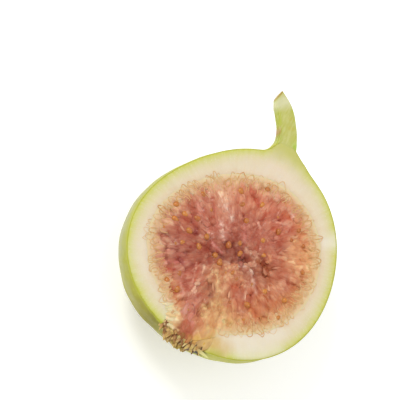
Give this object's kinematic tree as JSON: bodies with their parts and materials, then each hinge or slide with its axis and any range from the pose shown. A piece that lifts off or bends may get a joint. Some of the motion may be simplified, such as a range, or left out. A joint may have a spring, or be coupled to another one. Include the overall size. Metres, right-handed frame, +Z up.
{
  "type": "fresh fig half",
  "caption": "Half of a fresh green fig, cut lengthwise and lying on its back: rind, pulp with seeds, curved cut stem and the small scales of the eye.",
  "frame": {"origin": "middle of the small flat spot that the fruit rests on, under its centre of mass", "axes": "+Z up out of the cut face, +Y towards the stem, -Y towards the eye, +X to the right seen from above with the stem away"},
  "size_m": [0.0521, 0.0698, 0.0267],
  "materials": {
    "skin": "waxy pale green fig skin outside, matt cream flesh on the cut ring",
    "flesh": "moist salmon to rose florets with paler strands and amber seeds",
    "stalk": "green skin with a pale cut face",
    "bracts": "dry straw, tan and olive scales"
  },
  "bodies": {
    "root": {"rind": "skin", "pulp": "flesh", "stem": "stalk", "eye_scales": "bracts"}
  },
  "joints": []
}
